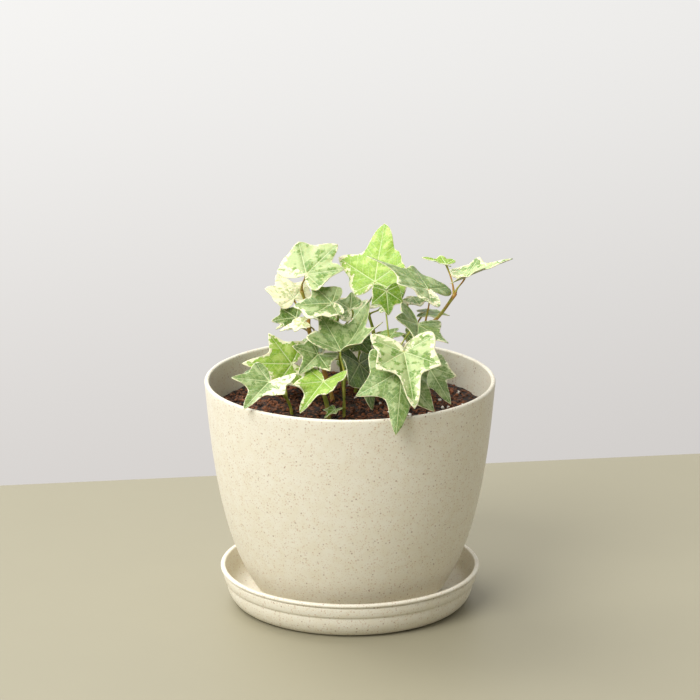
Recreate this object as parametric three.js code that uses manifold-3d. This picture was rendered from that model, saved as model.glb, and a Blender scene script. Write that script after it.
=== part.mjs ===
// Potted ivy: a variegated ivy in a tapered pot that stands in a shallow round saucer.
// Millimetres, +Z up. The origin is the middle of the saucer's underside; -Y is the front.
import * as THREE from "three";
import { mergeVertices } from "three/addons/utils/BufferGeometryUtils.js";
import Module from "manifold-3d";

const wasm = await Module();
wasm.setup();

// driving dimensions
const POT_HEIGHT = 116;
const POT_RIM_RADIUS = 75;
const POT_FOOT_RADIUS = 44;
const POT_WALL = 2.4;
const POT_BASE = 4;
const POT_FLOOR = 2.6;
const FOOT_RING_HEIGHT = 1.4;
const FOOT_RING_WIDTH = 4;
const DRAIN_RADIUS = 2;
const DRAIN_CIRCLE = 24;
const DRAIN_COUNT = 6;
const SAUCER_HEIGHT = 20;
const SAUCER_RADIUS = 67.5;
const SAUCER_FOOT_RADIUS = 57;
const SAUCER_LIP = 2.6;
const SAUCER_STEP_HEIGHT = 12.2;
const SAUCER_GROOVE_HEIGHT = 17.5;
const EDGE_ROUND = 0.6;
const SOIL_HEIGHT = 104;
const SOIL_MOUND = 1.2;
// handles of the curves of the pot's side and the saucer's bowl, as [radius, height]
const SIDE_HANDLES = [[66, 26], [72, 80]];
const BOWL_HANDLES = [[62, 1.5], [64.5, 7]];
const BOWL_TOP_RADIUS = 64.4;
// heights at which the inside of the pot and the side of the soil are turned
const WALL_STATIONS = [24, 42, 64];
const WALL_HIGH_STATION = 90;
const FLOOR_CORNER = 2;
const TURNED_SIDES = 40;
const STEM_STEPS = 8;
const STEM_SIDES = 6;
const PETIOLE_STEPS = 5;
const PETIOLE_SIDES = 5;
const GAP = 0.3;
const BLADE = 0.8;
const PETIOLE_RADIUS = 0.6;

// shape shared by all leaves, for a leaf one unit long from the heart to the tip
const SIDE_LOBE = { angle: 54, reach: 0.8 };
const BASAL_LOBE = { angle: 118, reach: 0.56 };
const UPPER_NOTCH = { angle: 27, reach: 0.6 };
const LOWER_NOTCH = { angle: 84, reach: 0.52 };
const HEART_NOTCH = 0.03;
// where a lobe's edge turns between its tip and the notch
const SHOULDER = 0.45;
const THROAT = 0.22;
const CREASE_WIDTH = 0.04;
const LOBE_ORDER = { left: 0, right: 1, leftBasal: 2, rightBasal: 3 };
const BLADE_STEPS = 2;
const BLADE_RINGS = [0.5, 1];

const COLOURS = {
  pot: "#ded6bd", soil: "#3a2618", brownStem: "#8a6a2c", greenStem: "#8f9a3c",
  grey: "#8ba070", mottled: "#86a34a", cream: "#d3d49c", dark: "#5d7440", lime: "#94bb34", bright: "#6f9e22",
};

// Each vine is a rooted stem: the points that its middle line follows, from its buried end.
const VINES = {
  left: [[-9, 8, 93], [-9, 8, 106], [-14, 12, 122], [-21, 17, 140], [-22, 19, 151], [-25, 17, 162]],
  mid_left: [[-3, 12, 93], [-3, 12, 106], [-5, 11, 125], [-7, 8, 142]],
  low_left: [[-11, -22, 93], [-11, -22, 107], [-13, -20, 116], [-17, -15, 123]],
  far_left: [[-30, -14, 93], [-30, -14, 106], [-32, -16, 113], [-35, -20, 118]],
  centre: [[-3, -20, 93], [-3, -20, 106], [-3, -19, 118], [-3, -18, 128]],
  tall: [[11, 6, 93], [11, 6, 106], [13, 11, 126], [12, 19, 140], [9, 21, 150]],
  right: [[29, -8, 93], [29, -8, 106], [29, -8, 130], [37, -7, 146], [46, -5, 155], [54, -3, 166]],
  front_right: [[21, -16, 93], [21, -16, 106], [20, -18, 120], [21, -25, 130]],
  back: [[3, 24, 93], [3, 24, 106], [4, 22, 117], [5, 20, 127]],
};
const VINE_RADIUS = {
  left: 1.1, mid_left: 0.9, low_left: 1.35, far_left: 0.9, centre: 0.8, tall: 1, right: 1.05,
  front_right: 1, back: 1,
};

// Five leaf sizes: the length from the heart to the tip of the middle lobe.
const SIZES = { tiny: 8, small: 13, middle: 20, large: 26, largest: 36 };

// Leaf forms: reach of the [left, right, left basal, right basal] lobes, reach of the
// [upper left, upper right, lower left, lower right] notches, spread of the lobes, and how full
// the edges of the [middle, side, basal] lobes are.
const FORMS = {
  star: { lobes: [0.95, 0.95, 0.95, 0.95], notch: [0.88, 0.88, 0.9, 0.9], spread: 1, full: [0.1, 0.05, 0.1] },
  broad: { lobes: [1, 1, 1, 1], notch: [1.1, 1.1, 1.1, 1.1], spread: 0.95, full: [0.16, 0.1, 0.14] },
  round: { lobes: [1.15, 0.95, 1.05, 0.9], notch: [1.3, 1, 1.2, 1], spread: 0.9, full: [0.18, 0.12, 0.16] },
  spear: { lobes: [0.75, 0.75, 0.9, 0.9], notch: [0.95, 0.95, 1, 1], spread: 0.95, full: [0.12, 0.06, 0.12] },
  lopsided: { lobes: [0.95, 0.6, 0.6, 1], notch: [1, 1.2, 1, 1.2], spread: 1, full: [0.24, 0.14, 0.16] },
};

// How a blade bends: fold along the midrib, and curl down its length.
const BENDS = {
  flat: { fold: 0, curl: 10 },
  raised: { fold: 15, curl: 10 },
  cupped: { fold: 30, curl: -45 },
  drooped: { fold: -20, curl: 10 },
};

// Each leaf: its name, its vine, how far up the vine its stalk starts (0 to 1), the stalk's
// [compass heading, climb above level, length], the blade's [compass heading, rise, roll], and its
// size, form, bend and colour. Headings are degrees from +X towards +Y, so 270 faces the front.
const LEAVES = [
  ["mottled_high", "left", 1, [285, 50, 15], [45, 30, 15], "large", "round", "flat", "mottled"],
  ["cream_left", "left", 0.8, [150, 45, 12], [120, 30, 0], "middle", "broad", "flat", "cream"],
  ["folded_left", "mid_left", 1, [255, 65, 20], [180, 0, -30], "middle", "round", "raised", "grey"],
  ["dark_left", "left", 0.7, [210, 45, 11], [195, 0, -30], "small", "broad", "flat", "dark"],
  ["cream_low_left", "left", 0.6, [255, 40, 26], [180, -15, -15], "small", "spear", "flat", "cream"],
  ["olive_left", "left", 0.65, [165, 30, 14], [210, -15, 0], "tiny", "star", "flat", "lime"],
  ["dark_mid", "mid_left", 0.75, [240, 40, 15], [195, -30, 0], "small", "broad", "flat", "dark"],
  ["small_bright", "mid_left", 0.9, [105, 30, 14], [0, 45, 30], "tiny", "star", "flat", "bright"],
  ["behind_star", "mid_left", 0.95, [30, 60, 16], [135, 15, -45], "small", "broad", "flat", "grey"],
  ["tall_bright", "tall", 1, [285, 55, 24], [80, 45, -15], "largest", "lopsided", "flat", "lime"],
  ["bright_under", "front_right", 1, [100, 70, 42], [280, -55, 0], "small", "broad", "flat", "bright"],
  ["star_back", "tall", 0.95, [330, 45, 10], [30, 30, 0], "small", "broad", "flat", "mottled"],
  ["shade_right", "tall", 0.7, [300, 30, 22], [195, -15, 0], "small", "broad", "flat", "bright"],
  ["shade_right_two", "tall", 0.75, [330, 15, 20], [345, -45, 15], "tiny", "star", "flat", "bright"],
  ["dark_small", "tall", 0.5, [225, 55, 23], [315, -30, 15], "small", "broad", "flat", "dark"],
  ["star_centre", "centre", 1, [120, 75, 12], [60, 10, 0], "largest", "star", "cupped", "grey"],
  ["dark_centre", "centre", 0.7, [60, 36, 20], [300, -50, -30], "large", "broad", "flat", "dark"],
  ["soil_shoot", "centre", 0.45, [240, 15, 10], [225, -15, 0], "tiny", "star", "raised", "bright"],
  ["lime_front", "low_left", 1, [285, 15, 14], [240, -20, 0], "large", "spear", "raised", "lime"],
  ["grey_left_mid", "low_left", 0.95, [90, 75, 15], [240, -15, -30], "middle", "star", "raised", "grey"],
  ["lime_left", "low_left", 0.9, [150, 30, 19], [195, 6, -60], "large", "star", "flat", "lime"],
  ["low_left", "far_left", 1, [255, 30, 25], [240, -15, -10], "large", "star", "raised", "grey"],
  ["left_edge", "far_left", 0.8, [120, 30, 24], [180, -15, 0], "small", "broad", "flat", "dark"],
  ["grey_right_high", "right", 0.7, [280, 70, 26], [165, 30, 0], "largest", "spear", "flat", "grey"],
  ["young_tip", "right", 0.98, [135, 70, 17], [165, 15, 0], "small", "spear", "raised", "lime"],
  ["right_end", "right", 1, [15, 60, 10], [0, 25, 0], "large", "spear", "raised", "mottled"],
  ["right_strap", "right", 0.6, [75, 30, 22], [0, 0, 0], "small", "broad", "flat", "grey"],
  ["right_back_edge", "right", 0.65, [100, 35, 27], [345, 0, 0], "small", "broad", "drooped", "mottled"],
  ["grey_right", "front_right", 0.9, [15, 62, 31], [270, -15, -30], "large", "star", "raised", "grey"],
  ["mottled_front", "front_right", 1, [282, 34, 35], [280, -30, 0], "largest", "spear", "raised", "mottled"],
  ["grey_hanging", "front_right", 0.9, [278, 22, 41], [265, -45, -20], "largest", "star", "drooped", "grey"],
  ["grey_behind_right", "front_right", 0.75, [340, 30, 24], [300, -30, 20],
    "large", "spear", "drooped", "grey"],
  ["back_high", "mid_left", 0.85, [90, 20, 26], [90, 10, 0], "large", "broad", "raised", "mottled"],
  ["back_small_left", "left", 0.35, [120, 30, 22], [150, -10, 5], "middle", "star", "raised", "grey"],
  ["back_left", "back", 0.75, [160, 10, 30], [135, -25, -5], "large", "broad", "raised", "mottled"],
  ["back_mid", "back", 1, [105, 15, 20], [105, -25, 5], "large", "spear", "raised", "grey"],
  ["back_right", "back", 0.9, [15, 15, 20], [60, -20, 5], "large", "broad", "raised", "lime"],
  ["back_right_low", "back", 0.6, [350, 10, 30], [30, -15, -5], "middle", "star", "flat", "grey"],
  ["back_low", "back", 0.5, [75, 15, 14], [75, -5, 0], "large", "broad", "raised", "bright"],
  ["back_left_low", "back", 0.45, [190, 10, 30], [165, -5, 5], "middle", "star", "flat", "grey"],
].map(([name, vine, joint, stalk, blade, size, form, bend, tone]) => ({
  name, vine, joint, stalk, tone, turn: blade[0], rise: blade[1], roll: blade[2],
  length: SIZES[size], ...FORMS[form], ...BENDS[bend],
}));

const radians = THREE.MathUtils.degToRad;

function material(colour, roughness = 0.55) {
  return new THREE.MeshStandardMaterial({ color: colour, roughness, metalness: 0 });
}

function named(name, geometry, look) {
  const mesh = new THREE.Mesh(geometry, look);
  mesh.name = name;
  return mesh;
}

function toSolid(geometry) {
  const bare = geometry.clone();
  bare.deleteAttribute("normal");
  bare.deleteAttribute("uv");
  const merged = mergeVertices(bare, 1e-4);
  return new wasm.Manifold(new wasm.Mesh({
    numProp: 3,
    vertProperties: new Float32Array(merged.attributes.position.array),
    triVerts: new Uint32Array(merged.index.array),
  }));
}

function fromSolid(solid) {
  const mesh = solid.getMesh();
  const geometry = new THREE.BufferGeometry();
  geometry.setAttribute("position", new THREE.BufferAttribute(new Float32Array(mesh.vertProperties), 3));
  geometry.setIndex(new THREE.BufferAttribute(new Uint32Array(mesh.triVerts), 1));
  geometry.computeVertexNormals();
  return geometry;
}

// A turned solid about Z from [radius, height] pairs that run anticlockwise from the axis.
function turned(profile) {
  const points = profile.map(([radius, height]) => new THREE.Vector2(radius, height));
  const geometry = new THREE.LatheGeometry(points, TURNED_SIDES);
  geometry.rotateX(Math.PI / 2);
  return geometry;
}

function profileCurve(start, handles, end) {
  return new THREE.CubicBezierCurve(...[start, ...handles, end].map((point) => new THREE.Vector2(...point)));
}

// The pot's side, as radius and height: it swells quickly above the foot and is steep at the rim.
const SIDE_CURVE = profileCurve(
  [POT_FOOT_RADIUS, POT_BASE], SIDE_HANDLES, [POT_RIM_RADIUS, POT_BASE + POT_HEIGHT]);

function sidePoints(steps) {
  return SIDE_CURVE.getPoints(steps).map((point) => [point.x, point.y]);
}

function innerRadius(height) {
  const side = sidePoints(60);
  const above = side.findIndex(([, level]) => level >= height);
  const [lowRadius, low] = side[above - 1];
  const [highRadius, high] = side[above];
  return lowRadius + (highRadius - lowRadius) * (height - low) / (high - low) - POT_WALL;
}

function potGeometry() {
  const top = POT_BASE + POT_HEIGHT;
  const floor = POT_BASE + FOOT_RING_HEIGHT;
  const outside = sidePoints(8).slice(0, -1);
  const inner = POT_RIM_RADIUS - POT_WALL;
  const lip = [[POT_RIM_RADIUS, top - EDGE_ROUND], [POT_RIM_RADIUS - EDGE_ROUND, top],
    [inner + EDGE_ROUND, top], [inner, top - EDGE_ROUND]];
  const corner = floor + POT_FLOOR + FLOOR_CORNER;
  const stations = [corner, ...WALL_STATIONS, WALL_HIGH_STATION].reverse();
  const inside = stations.map((height) => [innerRadius(height), height]);
  const bottom = [[innerRadius(corner) - FLOOR_CORNER, floor + POT_FLOOR], [0, floor + POT_FLOOR]];
  const ringRadius = POT_FOOT_RADIUS - FOOT_RING_WIDTH;
  const ring = [[ringRadius, POT_BASE], [ringRadius - 1, floor]];
  let pot = toSolid(turned([[0, floor], ...ring.reverse(), ...outside, ...lip, ...inside, ...bottom]));
  for (let index = 0; index < DRAIN_COUNT; index += 1) {
    const angle = (index / DRAIN_COUNT) * 2 * Math.PI;
    const drill = new THREE.CylinderGeometry(DRAIN_RADIUS, DRAIN_RADIUS, 3 * POT_FLOOR, 8);
    drill.rotateX(Math.PI / 2);
    drill.translate(DRAIN_CIRCLE * Math.cos(angle), DRAIN_CIRCLE * Math.sin(angle), floor + POT_FLOOR / 2);
    pot = pot.subtract(toSolid(drill));
  }
  return fromSolid(pot);
}

function saucerGeometry() {
  const floor = POT_BASE - GAP;
  const bowl = profileCurve(
    [SAUCER_FOOT_RADIUS, 0], BOWL_HANDLES, [BOWL_TOP_RADIUS, SAUCER_STEP_HEIGHT - EDGE_ROUND]);
  const outside = bowl.getPoints(4).map((point) => [point.x, point.y]);
  const groove = SAUCER_GROOVE_HEIGHT;
  const inner = SAUCER_RADIUS - SAUCER_LIP;
  const band = [[65.5, SAUCER_STEP_HEIGHT], [66.6, groove - 0.3], [66, groove], [66, groove + 0.5],
    [SAUCER_RADIUS, groove + 0.9], [SAUCER_RADIUS, SAUCER_HEIGHT - EDGE_ROUND],
    [SAUCER_RADIUS - EDGE_ROUND, SAUCER_HEIGHT], [inner + EDGE_ROUND, SAUCER_HEIGHT],
    [inner, SAUCER_HEIGHT - EDGE_ROUND]];
  const inside = [[62.6, SAUCER_STEP_HEIGHT], [60.4, 8], [56.5, 5], [52, floor], [0, floor]];
  return turned([[0, 0], ...outside, ...band, ...inside]);
}

function soilSurface(radius) {
  return SOIL_HEIGHT + SOIL_MOUND * Math.cos((radius / POT_RIM_RADIUS) * Math.PI);
}

function soilGeometry() {
  const low = POT_BASE + FOOT_RING_HEIGHT + POT_FLOOR + GAP;
  const rim = innerRadius(SOIL_HEIGHT) - 2 * GAP;
  const corner = low + FLOOR_CORNER;
  const side = [corner, ...WALL_STATIONS].map((height) => [innerRadius(height) - 2 * GAP, height]);
  const top = [rim, 50, 26, 0].map((radius) => [radius, soilSurface(radius)]);
  const foot = innerRadius(corner) - 2 * GAP - FLOOR_CORNER;
  let soil = toSolid(turned([[0, low], [foot, low], ...side, ...top]));
  for (const name of Object.keys(VINES)) {
    const hole = tube(rootedCurve(name, GAP), VINE_RADIUS[name] + GAP, STEM_STEPS, STEM_SIDES);
    soil = soil.subtract(toSolid(hole));
  }
  return fromSolid(soil);
}

// A round tube along a curve, closed at both ends.
function tube(curve, radius, steps, sides) {
  const section = new THREE.Shape();
  for (let side = 0; side < sides; side += 1) {
    const angle = (side / sides) * 2 * Math.PI;
    const [x, y] = [radius * Math.cos(angle), radius * Math.sin(angle)];
    if (side === 0) section.moveTo(x, y);
    else section.lineTo(x, y);
  }
  section.closePath();
  return new THREE.ExtrudeGeometry(section, { steps, bevelEnabled: false, extrudePath: curve });
}

function rootedCurve(name, deeper = 0) {
  const points = VINES[name].map((point) => new THREE.Vector3(...point));
  points[0].z -= deeper;
  return new THREE.CatmullRomCurve3(points, false, "centripetal");
}

// A leaf's heart: the end of its stalk, which starts on the vine.
function heartOf({ vine, joint, stalk: [heading, climb, length] }) {
  const away = new THREE.Vector3().setFromSphericalCoords(length, radians(90 - climb), radians(heading));
  return rootedCurve(vine).getPointAt(joint).add(new THREE.Vector3(away.z, away.x, away.y));
}

// The leaf's own directions: along its middle lobe, across to its left, and out of its upper face.
function leafAxes({ turn, rise, roll }) {
  const along = new THREE.Vector3(
    Math.cos(radians(rise)) * Math.cos(radians(turn)),
    Math.cos(radians(rise)) * Math.sin(radians(turn)),
    Math.sin(radians(rise)));
  const across = new THREE.Vector3(-Math.sin(radians(turn)), Math.cos(radians(turn)), 0);
  const out = new THREE.Vector3().crossVectors(along, across);
  across.applyAxisAngle(along, radians(roll));
  out.applyAxisAngle(along, radians(roll));
  return { along, across, out };
}

function polar(angle, reach) {
  return new THREE.Vector2(reach * Math.cos(radians(angle)), reach * Math.sin(radians(angle)));
}

// One edge of a lobe, from its tip to the notch beside it: full near the tip, round in the notch.
function lobeEdge(tip, notch, side, direction, fullness) {
  const run = notch.clone().sub(tip);
  const length = run.length();
  const outward = new THREE.Vector2(run.y, -run.x).multiplyScalar(side * direction / length);
  const shoulder = tip.clone().addScaledVector(run, SHOULDER).addScaledVector(outward, length * fullness);
  const around = new THREE.Vector2(-notch.y, notch.x).normalize().multiplyScalar(side * direction);
  const throat = notch.clone().addScaledVector(around, -length * THROAT);
  return new THREE.CubicBezierCurve(tip, shoulder, throat, notch);
}

function halfOutline(leaf, side) {
  const lobe = side > 0 ? leaf.lobes[LOBE_ORDER.left] : leaf.lobes[LOBE_ORDER.right];
  const basal = side > 0 ? leaf.lobes[LOBE_ORDER.leftBasal] : leaf.lobes[LOBE_ORDER.rightBasal];
  const [upperDepth, lowerDepth] = side > 0 ? [leaf.notch[0], leaf.notch[2]] : [leaf.notch[1], leaf.notch[3]];
  const { spread, full: [middleFull, sideFull, basalFull] } = leaf;
  const tip = polar(0, 1);
  const upper = polar(side * UPPER_NOTCH.angle * spread, UPPER_NOTCH.reach * upperDepth * (1 + lobe) / 2);
  const sideTip = polar(side * SIDE_LOBE.angle * spread, SIDE_LOBE.reach * lobe);
  const lower = polar(side * LOWER_NOTCH.angle * spread, LOWER_NOTCH.reach * lowerDepth * (lobe + basal) / 2);
  const basalTip = polar(side * BASAL_LOBE.angle * spread, BASAL_LOBE.reach * basal);
  const heart = new THREE.Vector2(-HEART_NOTCH, 0);
  const reach = basalTip.distanceTo(heart);
  const round = basalTip.clone().add(polar(side * (BASAL_LOBE.angle * spread + 70), reach * 0.4));
  const inward = heart.clone().add(polar(side * 150, reach * 0.62));
  const reversed = (curve) => new THREE.CubicBezierCurve(curve.v3, curve.v2, curve.v1, curve.v0);
  const edges = [
    lobeEdge(tip, upper, side, 1, middleFull),
    reversed(lobeEdge(sideTip, upper, side, -1, sideFull)),
    lobeEdge(sideTip, lower, side, 1, sideFull),
    reversed(lobeEdge(basalTip, lower, side, -1, basalFull)),
    new THREE.CubicBezierCurve(basalTip, round, inward, heart),
  ];
  return edges.flatMap((edge) => edge.getPoints(BLADE_STEPS).slice(0, -1));
}

function leafOutline(leaf) {
  const right = halfOutline(leaf, -1).slice(1).reverse();
  return [...halfOutline(leaf, 1), new THREE.Vector2(-HEART_NOTCH, 0), ...right];
}

// A point of the flat leaf, bent into place: folded along the midrib and curled down its length.
function bentPoint(leaf, flat, lift) {
  const { along, across, out } = leafAxes(leaf);
  const [u, v] = [flat.x * leaf.length, flat.y * leaf.length];
  const crease = Math.abs(v) / Math.hypot(v, CREASE_WIDTH * leaf.length);
  const fold = radians(leaf.fold);
  const level = v * Math.cos(fold) - Math.sign(v) * lift * crease * Math.sin(fold);
  const height = Math.abs(v) * crease * Math.sin(fold) + lift * Math.cos(fold);
  const curl = radians(leaf.curl) / leaf.length;
  const flatAlong = Math.abs(curl) < 1e-6;
  const forward = flatAlong ? u : (1 / curl + height) * Math.sin(u * curl);
  const upward = flatAlong ? height : (1 / curl + height) * Math.cos(u * curl) - 1 / curl;
  return heartOf(leaf).addScaledVector(along, forward)
    .addScaledVector(across, level).addScaledVector(out, upward);
}

// A blade: its upper and lower faces are rings about the heart, joined around the edge.
function bladeGeometry(leaf) {
  const outline = leafOutline(leaf);
  const count = outline.length;
  const positions = [];
  const index = [];
  for (const lift of [BLADE / 2, -BLADE / 2]) {
    positions.push(bentPoint(leaf, new THREE.Vector2(0, 0), lift));
    for (const scale of BLADE_RINGS) {
      for (const point of outline) {
        positions.push(bentPoint(leaf, point.clone().multiplyScalar(scale), lift));
      }
    }
  }
  const faceSize = 1 + count * BLADE_RINGS.length;
  for (let point = 0; point < count; point += 1) {
    const next = (point + 1) % count;
    for (const [start, flip] of [[0, false], [faceSize, true]]) {
      const [a, b] = flip ? [next, point] : [point, next];
      const [inA, inB, outA, outB] = [a, b, a + count, b + count].map((value) => start + 1 + value);
      index.push(start, inA, inB, inA, outA, outB, inA, outB, inB);
    }
    const edge = 1 + count * (BLADE_RINGS.length - 1);
    const [topA, topB] = [edge + point, edge + next];
    index.push(topA, topA + faceSize, topB + faceSize, topA, topB + faceSize, topB);
  }
  const geometry = new THREE.BufferGeometry();
  const flat = positions.flatMap((point) => [point.x, point.y, point.z]);
  geometry.setAttribute("position", new THREE.Float32BufferAttribute(flat, 3));
  geometry.setIndex(index);
  geometry.computeVertexNormals();
  return geometry;
}

// A petiole leaves the stem upwards and meets its leaf from behind and below the heart.
function petioleCurve(leaf) {
  const { along, out } = leafAxes(leaf);
  const start = rootedCurve(leaf.vine).getPointAt(leaf.joint);
  const end = heartOf(leaf).addScaledVector(out, -BLADE / 2 - GAP - PETIOLE_RADIUS);
  end.addScaledVector(along, -0.3);
  const reach = start.distanceTo(end);
  const rising = start.clone().add(new THREE.Vector3(0, 0, 0.35 * reach));
  const arriving = end.clone().addScaledVector(along, -0.25 * reach).addScaledVector(out, -0.3 * reach);
  return new THREE.CubicBezierCurve3(start, rising, arriving, end);
}

function vineGeometry(name) {
  let vine = toSolid(tube(rootedCurve(name), VINE_RADIUS[name], STEM_STEPS, STEM_SIDES));
  for (const leaf of LEAVES.filter((candidate) => candidate.vine === name)) {
    vine = vine.add(toSolid(tube(petioleCurve(leaf), PETIOLE_RADIUS, PETIOLE_STEPS, PETIOLE_SIDES)));
  }
  return fromSolid(vine);
}

const plant = new THREE.Group();
const clay = material(COLOURS.pot, 0.5);
plant.add(named("pot", potGeometry(), clay));
plant.add(named("saucer", saucerGeometry(), clay));
plant.add(named("soil", soilGeometry(), material(COLOURS.soil, 0.95)));
for (const name of Object.keys(VINES)) {
  const colour = ["left", "right"].includes(name) ? COLOURS.brownStem : COLOURS.greenStem;
  plant.add(named(`vine_${name}`, vineGeometry(name), material(colour)));
}
for (const leaf of LEAVES) {
  plant.add(named(`leaf_${leaf.name}`, bladeGeometry(leaf), material(COLOURS[leaf.tone])));
}

export default plant;
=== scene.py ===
from math import cos, hypot, pi, radians, sin

import bmesh
import bpy
import numpy as np
from bpy.props import FloatProperty, FloatVectorProperty, IntProperty, PointerProperty
from bpy.types import Operator, Panel, PropertyGroup
from mathutils import Euler, Matrix, Vector, noise
from mathutils.geometry import interpolate_bezier


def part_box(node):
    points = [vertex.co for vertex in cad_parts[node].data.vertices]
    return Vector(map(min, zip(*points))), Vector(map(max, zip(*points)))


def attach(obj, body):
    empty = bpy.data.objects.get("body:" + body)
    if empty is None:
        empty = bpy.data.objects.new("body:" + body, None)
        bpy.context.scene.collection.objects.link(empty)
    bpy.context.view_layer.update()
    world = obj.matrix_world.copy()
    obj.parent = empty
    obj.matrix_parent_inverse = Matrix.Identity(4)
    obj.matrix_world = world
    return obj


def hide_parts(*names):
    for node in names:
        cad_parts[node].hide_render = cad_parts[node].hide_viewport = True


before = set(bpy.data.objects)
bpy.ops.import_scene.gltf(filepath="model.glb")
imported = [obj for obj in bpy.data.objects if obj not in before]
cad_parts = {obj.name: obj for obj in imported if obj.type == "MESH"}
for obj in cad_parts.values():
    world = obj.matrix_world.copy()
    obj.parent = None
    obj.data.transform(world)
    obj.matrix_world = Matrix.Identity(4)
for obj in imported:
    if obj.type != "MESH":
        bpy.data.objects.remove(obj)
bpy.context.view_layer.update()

bl_info = {
    "name": "Potted Ivy",
    "version": (1, 0, 0),
    "blender": (4, 5, 0),
    "location": "View3D > Sidebar > Potted Ivy",
    "description": "Variegated ivy in a straw-composite pot that stands in its saucer",
    "category": "Add Mesh",
}

MM = 0.001
POT_LOW, POT_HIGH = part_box("pot")[:2]
SAUCER_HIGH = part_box("saucer")[1]
SOIL_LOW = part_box("soil")[0]

# sizes in millimetres; handles are those of the curves of the pot's side and the saucer's bowl
FOOT_RING_HEIGHT, FOOT_RING_WIDTH, FOOT_EDGE = 1.4, 4, 0.6
POT_FLOOR, CORNER_WIDTH, CORNER_HEIGHT = 2.6, 2.5, 2.4
SIDE_HANDLES = [(66, 26), (72, 80)]
SAUCER_FOOT, SAUCER_FLOOR, SAUCER_STEP, SAUCER_GROOVE = 57, 3.7, 12.2, 17.5
BOWL_HANDLES, BOWL_TOP = [(62, 1.5), (64.5, 7)], 64.4
SOIL_LEVEL, SOIL_MOUND, SOIL_REACH, SOIL_GAP = 104, 1.2, 75, 0.6
PERLITE_SPOT, PERLITE_SPREAD = (56, -16), (6, 7)

# node kinds and settings that the materials use often
MATHS, MIX, RANGE = "ShaderNodeMath", "ShaderNodeMix", "ShaderNodeMapRange"
NOISE, CELLS = "ShaderNodeTexNoise", "ShaderNodeTexVoronoi"
COLOURS, SMOOTH = {"data_type": "RGBA"}, {"interpolation_type": "SMOOTHSTEP"}
PLUS, MINUS, TIMES = {"operation": "ADD"}, {"operation": "SUBTRACT"}, {"operation": "MULTIPLY"}
# how the room's brightness changes along each axis, and its mean level
ROOM_SLOPE, ROOM_LEVEL = (-0.45, 0.4, 0.3), 0.67
LEAF_VALUES = ("edge_mm", "vein_mm", "vein_run", "cream", "marble", "seed", "under")
# flecks in the composite: spacing and size in millimetres, how many, how strong, and their colour
FLECKS = ((0.9, 0.34, 0.6, 0.4, "fleck"), (1.5, 0.5, 0.6, 0.55, "fleck"),
          (2.8, 0.54, 0.5, 0.65, "dark_fleck"))

# Each vine's middle line in millimetres, from its buried end. These repeat the CAD part's lists.
VINES = {
    "left": [(-9, 8, 93), (-9, 8, 106), (-14, 12, 122), (-21, 17, 140), (-22, 19, 151), (-25, 17, 162)],
    "mid_left": [(-3, 12, 93), (-3, 12, 106), (-5, 11, 125), (-7, 8, 142)],
    "low_left": [(-11, -22, 93), (-11, -22, 107), (-13, -20, 116), (-17, -15, 123)],
    "far_left": [(-30, -14, 93), (-30, -14, 106), (-32, -16, 113), (-35, -20, 118)],
    "centre": [(-3, -20, 93), (-3, -20, 106), (-3, -19, 118), (-3, -18, 128)],
    "tall": [(11, 6, 93), (11, 6, 106), (13, 11, 126), (12, 19, 140), (9, 21, 150)],
    "right": [(29, -8, 93), (29, -8, 106), (29, -8, 130), (37, -7, 146), (46, -5, 155), (54, -3, 166)],
    "front_right": [(21, -16, 93), (21, -16, 106), (20, -18, 120), (21, -25, 130)],
    "back": [(3, 24, 93), (3, 24, 106), (4, 22, 117), (5, 20, 127)],
}
VINE_RADIUS = {"left": 1.1, "mid_left": 0.9, "low_left": 1.35, "far_left": 0.9, "centre": 0.8,
               "tall": 1, "right": 1.05, "front_right": 1, "back": 1}
WOODY_VINES = ("left", "right")

SIZES = {"tiny": 8, "small": 13, "middle": 20, "large": 26, "largest": 36}

# Reach of the [left, right, left basal, right basal] lobes, of the
# [upper left, upper right, lower left, lower right] notches, the spread of the lobes, and how full
# the edges of the [middle, side, basal] lobes are.
FORMS = {
    "star": ((0.95, 0.95, 0.95, 0.95), (0.88, 0.88, 0.9, 0.9), 1, (0.1, 0.05, 0.1)),
    "broad": ((1, 1, 1, 1), (1.1, 1.1, 1.1, 1.1), 0.95, (0.16, 0.1, 0.14)),
    "round": ((1.15, 0.95, 1.05, 0.9), (1.3, 1, 1.2, 1), 0.9, (0.18, 0.12, 0.16)),
    "spear": ((0.75, 0.75, 0.9, 0.9), (0.95, 0.95, 1, 1), 0.95, (0.12, 0.06, 0.12)),
    "lopsided": ((0.95, 0.6, 0.6, 1), (1, 1.2, 1, 1.2), 1, (0.24, 0.14, 0.16)),
}
# Fold along the midrib and curl down the length, in degrees.
BENDS = {"flat": (0, 10), "raised": (15, 10), "cupped": (30, -45), "drooped": (-20, 10)}

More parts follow.
